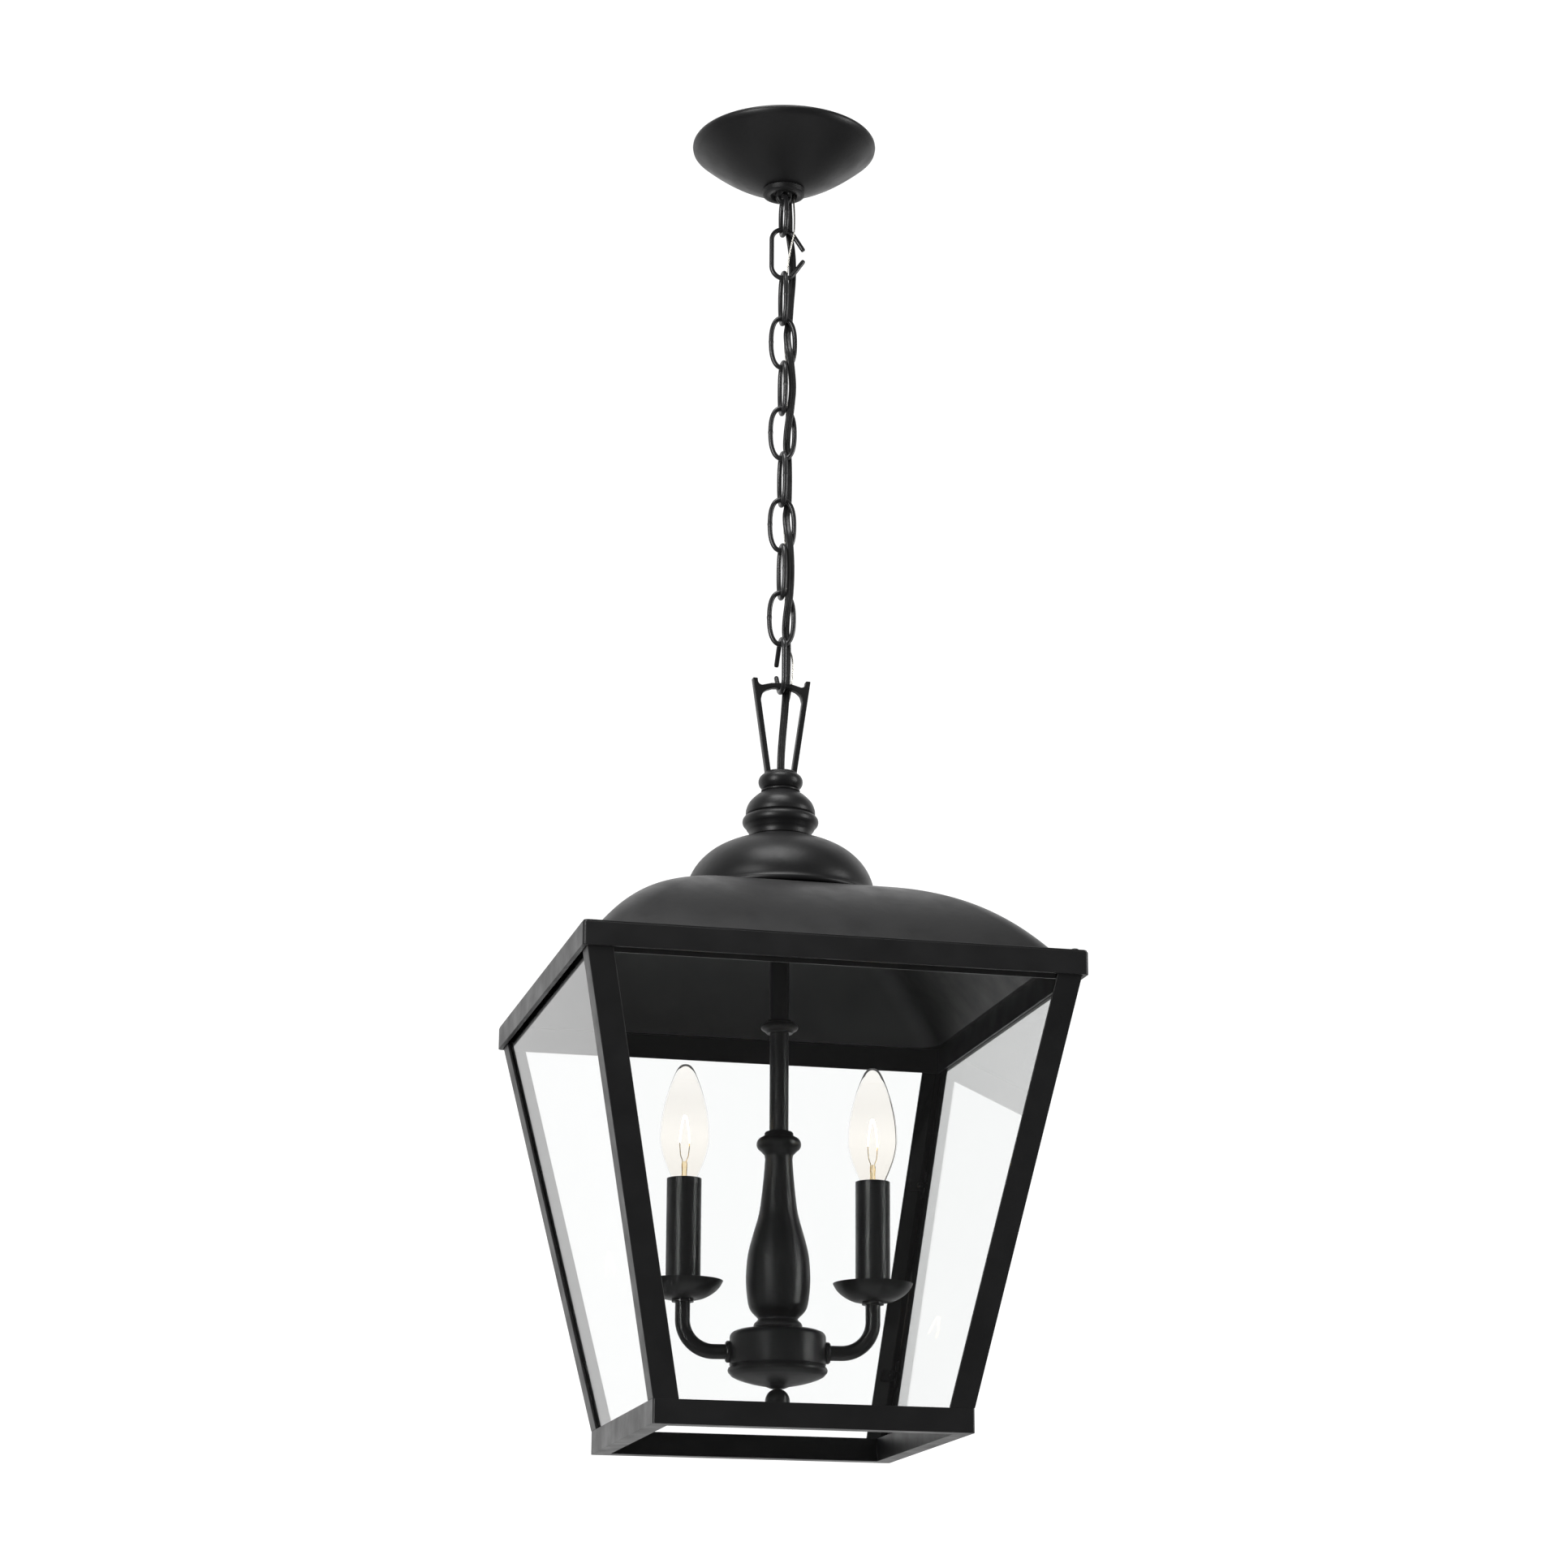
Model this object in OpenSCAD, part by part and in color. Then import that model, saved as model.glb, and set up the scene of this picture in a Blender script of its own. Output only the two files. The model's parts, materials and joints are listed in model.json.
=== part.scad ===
// Hanging lantern: a domed square cage with four glass panes and a two-candle
// cluster, hung by a chain from a round ceiling canopy.
// Millimetres, +Z up. The origin is the centre of the ceiling plane, at the middle
// of the mounting strap. +X is the right-hand side and -Y the front of the cage.

/* [Canopy] */
// Diameter of the canopy
canopy_d = 127; // [120:1:135]
// Depth of the canopy below the ceiling
canopy_h = 34; // [32:0.5:34]
// Thickness of the spun canopy
canopy_wall = 1.2; // [1:0.1:1.6]
// Distance between the slots of the mounting strap
slot_spacing = 88.9; // [80:0.1:89]

/* [Chain] */
// Outside length of a link
link_len = 40; // [38:0.5:42]
// Outside length of the short link in the eye of the collar
first_link_len = 31; // [30:0.5:33]
// Outside width of a link
link_w = 20; // [19:0.5:21]
// Thickness of the wire of a link
wire_d = 3.3; // [3:0.1:3.5]
// Play between two links
link_gap = 0.2; // [0.1:0.05:0.4]

/* [Cage] */
// Width of the band at the top
band_w = 317.5; // [310:0.5:325]
// Height of the band
band_h = 14.5; // [13:0.5:16]
// Width of the bottom frame
foot_w = 200; // [195:1:206]
// Height of the cage from the top of the band to the bottom of the frame
cage_h = 290.3; // [285:0.1:296]
// Height of the bars of the bottom frame
foot_h = 14.9; // [13:0.1:18]
// Rise of the roof above the band
roof_h = 61; // [59:0.5:61]
// Width of each flange of a leg
leg_w = 16; // [14:0.5:18]
// Thickness of a pane
pane_t = 2; // [1.8:0.1:2.1]

/* [Candles] */
// Distance of each candle from the centre
arm_reach = 60.5; // [59:0.5:64]
// Turn of the two arms about the stem, seen from above
arm_turn = -8.8; // [-12:0.1:0]
// Diameter of an arm
arm_d = 9.5; // [9:0.1:10]
// Diameter of a candle sleeve
sleeve_d = 22.2; // [22:0.1:23]
// Diameter of a bobeche
bobeche_d = 51; // [48:1:54]
// Diameter of a bulb
bulb_d = 31.5; // [30:0.5:33]

/* [Hidden] */
$fn = 96;
WIRE_FN = 32;
FINISH = [0.06, 0.06, 0.065];
ZINC = [0.62, 0.63, 0.62];
BRASS = [0.72, 0.58, 0.3];
GLASS = [0.85, 0.92, 0.95, 0.3];
LIT = [1, 0.93, 0.78, 0.5];
LEAD = [0.03, 0.03, 0.03];

// ---- Chain: heights of the wire centres, all from the bar of the collar's eye ----
LINKS = 11;
EYE_D = 11.4;
eye_bar_r = 1.75;
eye_bottom = -45;
eye_z = eye_bottom + EYE_D / 2;
wire_r = wire_d / 2;
half_w = (link_w - wire_d) / 2;
pitch = link_len - 2 * wire_d - link_gap;
first_top = eye_bottom + 2 * eye_bar_r + link_gap + wire_r;
first_bottom = first_top - first_link_len + wire_d;

function link_long(k) = k == 1 ? first_link_len : link_len;
function link_top(k) =
    k == 1 ? first_top : first_bottom + wire_d + link_gap - (k - 2) * pitch;
function link_bottom(k) = link_top(k) - link_long(k) + wire_d;

// ---- Stirrup: its crossbar hangs in the crown of the last link ----
bar_depth = 5.2;
bar_face = 3.5;
stirrup_foot = 148.2;
cross_z = 207;
cross_lift = half_w - sqrt(pow(half_w - wire_r - link_gap, 2) - pow(bar_depth / 2, 2));
// Height of the lantern's own zero, the top of the band, below the ceiling
drop = cross_z - link_bottom(LINKS) - cross_lift;

// ---- Cage ----
foot_top = foot_h - cage_h;
band_t = 3;
leg_t = 1.8;
leg_out_top = band_w / 2 - 3.45;
taper = (leg_out_top - foot_w / 2) / (foot_top * -1 - band_h);
rail_out = band_w / 2 - band_t - 0.05;
rail_in = rail_out - 6.6;
rail_t = 1.5;
rail_bottom = -16.3;
leg_top = -12.7;
pane_gap = 0.15;
pane_top = -5;
pane_corner = 6.4;
foot_t = 11;
roof_t = 1.2;
roof_half = 147.5;
roof_power = 3.26;
roof_corner = 18;
flange_half = band_w / 2 - 0.5;

// Half-width over the legs at a height below the band
function leg_out(z) = leg_out_top + taper * (z + band_h);

// ---- Candle cluster, heights from the top of the band ----
arm_z = -232.9;
arm_bend = 20;
arm_top = -202;
arm_wall = 1;
washer_t = 1.8;
dish_z = arm_top + washer_t;
dish_t = 1.2;
dish_rim = -188.6;
sleeve_wall = 1;
sleeve_top = -123.4;
sleeve_foot = dish_z + dish_t;
socket_r = sleeve_d / 2 - sleeve_wall - 0.6;
socket_top = sleeve_top - 8.6;
socket_bore = 6.3;
base_r = 6;
base_top = -134;
base_foot = -152;
body_r = 30.5;
body_top = -219.3;
body_foot = -240.9;
stem_d = 12.3;
roof_hole = 6.6;

// ---- Outlines ----
function arc(cx, cy, r, from, to, n = 8) =
    [for (i = [0:n]) let (a = from + (to - from) * i / n) [cx + r * cos(a), cy + r * sin(a)]];

// Points on a smooth curve through a few given ones (Catmull-Rom), n to a span
function blend3(a, b, c, d, t) =
    0.5 * ((2 * b) + (c - a) * t + (2 * a - 5 * b + 4 * c - d) * t * t
    + (3 * b - a - 3 * c + d) * t * t * t);
function smooth(p, n = 4) = let (last = len(p) - 1) concat(
    [for (i = [0:last - 1], j = [0:n - 1])
        blend3(p[max(i - 1, 0)], p[i], p[i + 1], p[min(i + 2, last)], j / n)],
    [p[last]]);
function reversed(p) = [for (i = [len(p) - 1:-1:0]) p[i]];
function moved(p, dx, dy) = [for (q = p) [q[0] + dx, q[1] + dy]];

// Square of half-width u with round corners, counter-clockwise
function round_square(u, r, n = 6) = [for (q = [0:3], i = [0:n])
    let (a = 90 * i / n, x = u - r + r * cos(a), y = u - r + r * sin(a))
    [x * cos(90 * q) - y * sin(90 * q), x * sin(90 * q) + y * cos(90 * q)]];

module turned(outline) {
    rotate_extrude() polygon(outline);
}

module lantern() {
    translate([0, 0, -drop]) children();
}

// Solid between two outlines of equal length, one at each height. ends splits the
// outline into convex patches.
module loft(low, z_low, high, z_high, ends) {
    n = len(low);
    polyhedron(
        points = concat([for (p = low) [p[0], p[1], z_low]],
                        [for (p = high) [p[0], p[1], z_high]]),
        faces = concat(ends, [for (e = ends) [for (i = [len(e) - 1:-1:0]) n + e[i]]],
                       [for (i = [0:n - 1]) [i, n + i, n + (i + 1) % n, (i + 1) % n]]),
        convexity = 4);
}

// Closed surface through rings of equal length, the last ring joined to the first
module ring_shell(rings) {
    m = len(rings);
    n = len(rings[0]);
    polyhedron(
        points = [for (ring = rings, p = ring) p],
        faces = [for (i = [0:m - 1], j = [0:n - 1], half = [0, 1])
            let (a = i * n + j, b = i * n + (j + 1) % n,
                 c = (i + 1) % m * n + j, d = (i + 1) % m * n + (j + 1) % n)
            half == 0 ? [a, c, d] : [a, d, b]],
        convexity = 8);
}

// Tube through rings of equal length, closed at both ends
module tube(rings) {
    m = len(rings);
    n = len(rings[0]);
    polyhedron(
        points = [for (ring = rings, p = ring) p],
        faces = concat(
            [[for (j = [n - 1:-1:0]) j]],
            [[for (j = [0:n - 1]) (m - 1) * n + j]],
            [for (i = [0:m - 2], j = [0:n - 1], half = [0, 1])
                let (a = i * n + j, b = i * n + (j + 1) % n)
                half == 0 ? [a, b, b + n] : [a, b + n, a + n]]),
        convexity = 8);
}

// ---- Ceiling fitting ----
strap_t = 2.2;
strap_len = 108;
strap_w = 22;
slot_r = 2.4;
slot_len = 12;
nipple_r = 4.8;
nipple_bore = 3.2;
nipple_end = -21;
nut_af = 14;
nut_t = 3;

module mounting_strap() {
    color(ZINC) difference() {
        translate([-strap_len / 2, -strap_w / 2, -strap_t]) cube([strap_len, strap_w, strap_t]);
        for (side = [-1, 1]) translate([side * slot_spacing / 2, 0, -strap_t - 1]) {
            for (end = [-1, 1]) translate([end * (slot_len / 2 - slot_r), 0, 0])
                cylinder(r = slot_r, h = strap_t + 2);
            translate([slot_r - slot_len / 2, -slot_r, 0])
                cube([slot_len - 2 * slot_r, 2 * slot_r, strap_t + 2]);
        }
        translate([0, 0, -strap_t - 1]) cylinder(r = nipple_r + 0.05, h = strap_t + 2);
    }
}

module strap_nipple() {
    color(ZINC) translate([0, 0, nipple_end]) difference() {
        cylinder(r = nipple_r, h = -nipple_end - 0.2);
        translate([0, 0, -1]) cylinder(r = nipple_bore, h = -nipple_end + 2);
    }
}

module hex_nut(z) {
    translate([0, 0, z]) difference() {
        cylinder(d = nut_af / cos(30), h = nut_t, $fn = 6);
        translate([0, 0, -1]) cylinder(r = nipple_r + 0.05, h = nut_t + 2);
    }
}

module strap_nuts() {
    color(ZINC) {
        hex_nut(-strap_t - nut_t);
        hex_nut(collar_top);
    }
}

collar_r = 12.2;
collar_top = -17;
collar_shoulder = -25;
collar_foot = -38.6;
recess_r = 9.4;
recess_top = -36;
stub_r = 5.6;
lead_angle = 50;
wire_angle = 12;
lead_ring = 7.5;

module collar_loop() {
    color(FINISH) difference() {
        union() {
            translate([0, 0, collar_shoulder]) cylinder(r = 8, h = collar_top - collar_shoulder);
            translate([0, 0, collar_foot])
                cylinder(r = collar_r, h = collar_shoulder - collar_foot);
        }
        // The nipple's thread, and the way of the leads up into the box
        translate([0, 0, nipple_end - 0.2]) cylinder(r = nipple_r + 0.05, h = 20);
        translate([0, 0, -30]) cylinder(r = nipple_bore, h = 12);
        translate([0, 0, recess_top + 2]) cylinder(r = recess_r, h = 6.5);
        translate([0, 0, collar_foot - 1]) cylinder(r = recess_r, h = recess_top - collar_foot + 1);
        // Slot of the flat lead and hole of the ground wire
        rotate([0, 0, lead_angle]) translate([lead_ring, 0, -40]) {
            for (end = [-1, 1]) translate([0, end * 1.5, 0]) cylinder(r = 1.6, h = 8);
            translate([-1.6, -1.5, 0]) cube([3.2, 3, 8]);
        }
        rotate([0, 0, wire_angle]) translate([lead_ring, 0, -40]) cylinder(r = 0.9, h = 8);
    }
    // Eye that the first link hangs in
    color(FINISH) {
        difference() {
            translate([0, 0, eye_z]) cylinder(r = stub_r, h = recess_top - eye_z + 0.5);
            translate([0, 0, eye_z]) rotate([90, 0, 0])
                cylinder(r = EYE_D / 2 - 2 * eye_bar_r + 0.1, h = 20, center = true);
        }
        translate([0, 0, eye_z]) rotate([90, 0, 0]) rotate_extrude()
            translate([EYE_D / 2 - eye_bar_r, 0]) circle(r = eye_bar_r, $fn = WIRE_FN);
    }
}

canopy_rim = 3.5;
canopy_power = 1.77;
canopy_seat = 15.5;
canopy_hole = 13;

function canopy_z(r, h) =
    -canopy_rim - (h - canopy_rim) * (1 - pow(r / (canopy_d / 2), canopy_power)) * 1.07;

module canopy() {
    r = canopy_d / 2;
    steps = 16;
    outside = [for (i = [0:steps]) let (x = r - 0.3 - (r - 0.3 - canopy_seat) * i / steps)
        [x, max(canopy_z(x, canopy_h), -canopy_h)]];
    color(FINISH) turned(concat(
        [[r - 1.7, 0], [r - 0.7, -0.4], [r - 0.15, -1.3], [r, -2.3]],
        outside,
        [[canopy_hole, -canopy_h], [canopy_hole, canopy_wall - canopy_h]],
        [for (p = reversed(outside)) [p[0] - (p[0] > canopy_seat + 1 ? canopy_wall * 0.7 : 0),
            p[1] + canopy_wall]],
        [[r - canopy_wall - 0.5, -2.2], [r - 3.6, -1], [r - 3.6, 0]]));
}

knurls = 60;

module collar_ring() {
    top = -canopy_h - 0.1;
    color(FINISH) difference() {
        turned([[collar_r + 0.06, top], [14.2, top], [14.7, top - 0.5], [14.7, top - 3.6],
            [14.2, top - 4.1], [13.2, top - 4.4], [collar_r + 0.06, top - 4.4]]);
        for (i = [0:knurls - 1]) rotate([0, 0, 360 * i / knurls])
            translate([14.95, 0, top - 3.4]) cylinder(r = 0.5, h = 2.7, $fn = 4);
    }
}

// ---- Chain ----
// Closed link in the XZ plane with its centre at the origin: two straight sides of
// wire and a half ring at each end
module closed_link(long) {
    rise = (long - wire_d) / 2 - half_w;
    for (end = [0, 180]) rotate([0, end, 0]) translate([0, 0, rise]) rotate([90, 0, 0])
        rotate_extrude(angle = 180) translate([half_w, 0]) circle(d = wire_d, $fn = WIRE_FN);
    for (side = [-1, 1]) translate([side * half_w, 0, -rise])
        cylinder(d = wire_d, h = 2 * rise, $fn = WIRE_FN);
}

// Link opened on its +X side, with both ends sprung outward
module open_link(long) {
    rise = (long - wire_d) / 2 - half_w;
    turn = 34;
    reach = 13.2;
    sides = 16;
    end = [half_w * cos(turn) + reach * sin(turn), rise + half_w * sin(turn) - reach * cos(turn)];
    path = concat([end], arc(0, rise, half_w, turn, 180, 13),
        arc(0, -rise, half_w, 180, 360 - turn, 13), [[end[0], -end[1]]]);
    m = len(path);
    function heading(i) = let (d = path[min(i + 1, m - 1)] - path[max(i - 1, 0)]) d / norm(d);
    tube([for (i = [0:m - 1]) let (t = heading(i))
        [for (j = [0:sides - 1]) let (a = 360 * (j + 0.5) / sides)
            [path[i][0] - t[1] * wire_r * cos(a), wire_r * sin(a),
             path[i][1] + t[0] * wire_r * cos(a)]]]);
}

// Odd links stand in the YZ plane and even ones in the XZ plane
module link_at(k) {
    color(FINISH) translate([0, 0, (link_top(k) + link_bottom(k)) / 2])
        rotate([0, 0, k % 2 == 1 ? 90 : 0])
            if (k == 2 || k == LINKS) open_link(link_long(k));
            else closed_link(link_long(k));
}

// ---- Lead and ground wire, laced through the chain: x, y, z, turn of the flat ----
LEAD_W = 5.2;
LEAD_T = 2.6;
GROUND_D = 1.2;
LEAD_ROUTE = [
    [4.8, 5.8, -31, -40], [4.8, 5.8, -42, -40], [4.9, 4.8, -54, -15], [4.9, 3.5, -65, 0],
    [7.0, 3.5, -82, 0], [7.2, 3.5, -99, 0], [6.0, 3.5, -116, 0], [4.9, 3.4, -132, 0],
    [3.7, 3.1, -140, 0], [3.3, 0, -148.5, 0], [3.7, -3.1, -157, 0], [4.8, -3.4, -165.5, 0],
    [6.0, -3.6, -182, 0], [4.8, -3.4, -198, 0], [3.7, -3.1, -206.5, 0], [3.3, 0, -215, 0],
    [3.7, 3.1, -223.5, 0], [4.8, 3.4, -232, 0], [5.2, 3.6, -248, 0], [4.8, 3.4, -264.5, 0],
    [3.7, 3.1, -273, 0], [3.3, 0, -281.5, 0], [3.7, -3.1, -290, 0], [4.8, -3.4, -298.5, 0],
    [5.4, -3.6, -315, 0], [4.8, -3.4, -331, 0], [3.7, -3.1, -339.5, 0], [3.3, 0, -348, 0],
    [3.7, 3.1, -356.5, 0], [4.8, 3.4, -365, 0], [4.9, 4.0, -380, 0], [4.7, 4.6, -392, 0],
    [4.2, 4.4, -402, 0], [3.0, 2.9, -415, 0], [1.4, 1.2, -430, 0], [0.3, 0.2, -444, 0],
    [0, 0, -459, 0]
];
GROUND_ROUTE = [
    [7.3, 1.6, -31, 0], [7.5, 1.4, -42, 0], [7.4, -1.2, -53, 0], [7.0, -2.7, -62, 0],
    [6.6, -2.7, -68, 0], [5.2, -1.0, -76, 0], [3.8, 0.8, -86, 0], [3.2, 2.8, -98, 0],
    [2.5, 3.2, -111, 0], [2.6, 5.6, -123, 0], [3.0, 5.9, -134, 0], [2.8, 5.4, -141, 0],
    [2.2, 3.8, -150, 0], [3.2, 2.6, -165, 0], [3.4, 2.5, -182, 0], [3.4, 2.6, -198, 0],
    [3.2, 4.2, -211, 0], [3.4, 5.7, -223, 0], [4.6, 5.9, -248, 0], [3.6, 5.7, -266, 0],
    [3.0, 5.5, -273, 0], [2.4, 3.8, -283, 0], [3.2, 2.6, -299, 0], [3.4, 2.5, -315, 0],
    [3.4, 2.6, -331, 0], [3.2, 4.2, -344, 0], [4.2, 5.8, -358, 0], [6.6, 6.0, -366, 0],
    [8.8, 5.0, -374, 0], [8.9, 4.8, -386, 0], [7.4, 6.2, -400, 0], [5.4, 6.0, -408, 0],
    [3.2, 5.3, -416, 0], [1.0, 3.6, -431, 0], [0.2, 2.5, -445, 0], [0, 2.3, -459, 0]
];

// Tube of oval section along a route
module swept(route, width, thick, per_span, sides = 8) {
    p = smooth(route, per_span);
    m = len(p);
    function place(i) = [p[i][0], p[i][1], p[i][2]];
    function along(i) = let (d = place(min(i + 1, m - 1)) - place(max(i - 1, 0))) d / norm(d);
    tube([for (i = [0:m - 1])
        let (t = along(i), w0 = cross([sin(p[i][3]), -cos(p[i][3]), 0], t), w = w0 / norm(w0),
             v = cross(t, w))
        [for (j = [0:sides - 1]) let (a = 360 * (j + 0.5) / sides)
            place(i) + w * width / 2 * cos(a) + v * thick / 2 * sin(a)]]);
}

module supply_cord() {
    color(LEAD) swept(LEAD_ROUTE, LEAD_W, LEAD_T, 2);
}

module ground_wire() {
    color(ZINC) swept(GROUND_ROUTE, GROUND_D, GROUND_D, 2);
}

// ---- Top of the lantern ----
module stirrup() {
    spread = 9.25;
    top = 212.8;
    slope = spread / (top - stirrup_foot);
    function out(z) = 10.5 + slope * (z - stirrup_foot);
    right = concat(
        [[out(top), top], [out(top) - 3.3, top]],
        arc(13.3, top - 1.6, 3, 0, -90, 5),
        [[7, cross_z + 2.9]]);
    under = concat([[6, cross_z - 0.5]], smooth([[10, cross_z - 2], [12.9, cross_z - 4.6],
        [out(cross_z - 9) - bar_face, cross_z - 9]], 3));
    half = concat([[0, cross_z + 3.4]], reversed(right), [[out(stirrup_foot), stirrup_foot],
        [out(stirrup_foot) - bar_face, stirrup_foot]], reversed(under), [[0, cross_z]]);
    color(FINISH) lantern() rotate([90, 0, 0]) linear_extrude(bar_depth, center = true)
        polygon(concat(half, [for (i = [len(half) - 2:-1:1]) [-half[i][0], half[i][1]]]));
}

lead_bore = 3.6;

module finial_collar() {
    color(FINISH) lantern() turned(concat(
        [[lead_bore, stirrup_foot], [10.9, stirrup_foot]],
        arc(9, 141.9, 5.7, 72, -70, 12),
        [[12.6, 136.4], [12.9, 135.8], [12.9, 135.2], [lead_bore, 135.2]]));
}

cap_spigot = 12;

module cap_turning() {
    dome = smooth([[12.2, 134.6], [16, 132.2], [20.6, 127.5], [22.7, 122.6], [22.9, 119.4]], 4);
    bead = arc(20.9, 114.4, 4.2, 78, -62, 10);
    cove = smooth([[22.2, 109], [20.9, 107.3], [20.5, 105.4], [20.6, 103.8]], 2);
    color(FINISH) lantern() turned(concat(
        [[lead_bore, 135.2], [12.2, 135.2]], dome, [[22.4, 118.9]], bead, cove,
        [[cap_spigot, 103.8], [cap_spigot, roof_h + roof_t + 0.1],
         [lead_bore, roof_h + roof_t + 0.1]]));
}

module cap_dome() {
    outside = smooth([[cap_spigot + 0.1, 103.7], [20.5, 103.2], [28, 100.7], [36.6, 97.4],
        [45.5, 92.4], [52.9, 85.8], [57.8, 78.8], [60.8, 71.4], [61.6, 65.4]], 3);
    inside = [for (p = outside) [max(p[0] - 1.3 * (p[0] > 40 ? 1 : 0.35), cap_spigot + 0.1),
        p[1] - (p[0] > 58 ? 0.2 : 1.4)]];
    color(FINISH) lantern() turned(concat(
        outside, arc(60.7, 62.3, 2, 50, -110, 8), [[59.4, 62]], reversed(inside)));
}

module roof_shell() {
    steps = 12;
    inside_half = roof_half - 1.6;
    function at(u, r, z) = [for (p = round_square(u, r)) [p[0], p[1], z]];
    function dome(half, h, foot) = [for (i = [1:steps])
        let (u = max(half * cos(90 * i / steps), roof_hole),
             z = foot + h * (1 - pow(u / half, roof_power)))
        at(u, min(roof_corner, u), z)];
    outer = dome(roof_half, roof_h, roof_t);
    inner = dome(inside_half, roof_h, 0);
    color(FINISH) lantern() ring_shell(concat(
        [at(flange_half, 2.5, 0), at(flange_half, 2.5, roof_t), at(roof_half, roof_corner, roof_t)],
        outer, reversed(inner), [at(inside_half, roof_corner, 0)]));
}

screw_place = 151.8;

module roof_screws() {
    color(FINISH) lantern() for (side = [1, -1])
        translate([side * screw_place, -side * screw_place, roof_t + 0.02])
            turned([[0, 0], [3.1, 0], [2.9, 0.9], [2, 1.6], [0, 1.9]]);
}

module square_tube(out, in, low, high, r_out = 0.2, r_in = 0.2) {
    translate([0, 0, low]) linear_extrude(high - low) difference() {
        polygon(round_square(out, r_out));
        polygon(round_square(in, r_in));
    }
}

module top_band() {
    color(FINISH) lantern()
        square_tube(band_w / 2, band_w / 2 - band_t, -band_h, 0, 2.5, 0.5);
}

module top_rail() {
    color(FINISH) lantern() {
        square_tube(rail_out, rail_in, -rail_t, -0.02);
        square_tube(rail_in + rail_t, rail_in, rail_bottom, -rail_t);
    }
}

// ---- Cage sides ----
// Corner piece whose plan is given inward from the outer corner of the legs
module corner_piece(plan, z_low, z_high, sx, sy, ends = [[0, 1, 2, 3]]) {
    function at(z) = [for (p = plan) [sx * (leg_out(z) - p[0]), sy * (leg_out(z) - p[1])]];
    loft_turned(at(z_low), z_low, at(z_high), z_high, ends, sx * sy < 0);
}

// A loft whose outlines run the other way round when flip is true
module loft_turned(low, z_low, high, z_high, ends, flip) {
    n = len(low);
    last = n - 1;
    if (flip) loft(reversed(low), z_low, reversed(high), z_high,
        [for (e = ends) [for (i = [len(e) - 1:-1:0]) last - e[i]]]);
    else loft(low, z_low, high, z_high, ends);
}

module leg(sx, sy) {
    plan = [[0, 0], [leg_w, 0], [leg_w, leg_t], [leg_t, leg_t], [leg_t, leg_w], [0, leg_w]];
    color(FINISH) lantern()
        corner_piece(plan, foot_top, leg_top, sx, sy, [[0, 1, 2, 3], [0, 3, 4, 5]]);
}

module bottom_frame() {
    color(FINISH) lantern()
        square_tube(foot_w / 2, foot_w / 2 - foot_t, -cage_h, foot_top - 0.01, 1.6, 0.4);
}

module pane(turn) {
    out = leg_t + pane_gap;
    function at(z) = let (half = leg_out(z) - pane_corner, y = leg_out(z) - out)
        [[-half, -y], [half, -y], [half, pane_t - y], [-half, pane_t - y]];
    color(GLASS) lantern() rotate([0, 0, turn])
        loft(at(foot_top), foot_top, at(pane_top), pane_top, [[0, 1, 2, 3]]);
}

clip_t = 0.9;
clip_low = -232;
clip_high = -99;
clip_in = leg_t + pane_gap + pane_t + 0.1;

// Spring clip in a corner: a bridge under the screw, one finger on the pane of the
// Y side, and a finger above and below on the pane of the X side
module glass_clip(z, sx, sy) {
    far = clip_in + 9;
    mid = clip_in + 3.4;
    corner_piece([[clip_in, mid], [clip_in, clip_in], [far, clip_in], [far, clip_in + clip_t],
        [mid, clip_in + clip_t], [clip_in + clip_t, mid]], z - 3.5, z + 3.5, sx, sy,
        [[0, 1, 4, 5], [1, 2, 3, 4]]);
    for (end = [0, 1]) corner_piece([[clip_in + 0.1, mid - 0.6],
        [clip_in + clip_t - 0.1, mid - 0.6], [clip_in + clip_t - 0.1, far], [clip_in + 0.1, far]],
        z + (end == 0 ? 2.2 : -9.2), z + (end == 0 ? 9.2 : -2.2), sx, sy);
}

module glass_clips() {
    color(FINISH) lantern() for (sx = [-1, 1], sy = [-1, 1], z = [clip_low, clip_high])
        glass_clip(z, sx, sy);
}

module clip_screws() {
    // The bridge's face leans with the panes, and so do the screws
    lean = atan(taper * sqrt(2));
    head = clip_in + clip_t / 2 + 2.05;
    color(FINISH) lantern() for (sx = [-1, 1], sy = [-1, 1], z = [clip_low, clip_high]) {
        c = leg_out(z) - head;
        translate([sx * c, sy * c, z]) rotate([0, 0, atan2(sy, sx)]) rotate([0, lean - 90, 0])
            difference() {
                turned([[0, 0], [2.3, 0], [2.1, 0.9], [1.3, 1.5], [0, 1.7]]);
                for (a = [0, 90]) rotate([0, 0, a])
                    translate([-1.2, -0.25, 0.9]) cube([2.4, 0.5, 2]);
            }
    }
}

// ---- Stem and turnings ----
module stem_tube() {
    color(FINISH) lantern() translate([0, 0, -92]) difference() {
        cylinder(d = stem_d, h = 92 + roof_h + roof_t);
        translate([0, 0, -1]) cylinder(d = stem_d - 3, h = 100 + roof_h);
    }
}

module stem_ring() {
    bore = stem_d / 2 + 0.05;
    color(FINISH) lantern() turned(concat(
        [[bore, -27.6], [8.4, -27.6], [9, -26.6]], arc(9.8, -23.4, 2.3, -80, 80, 8),
        [[8.6, -20.4], [8, -19], [bore, -19]]));
}

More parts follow.
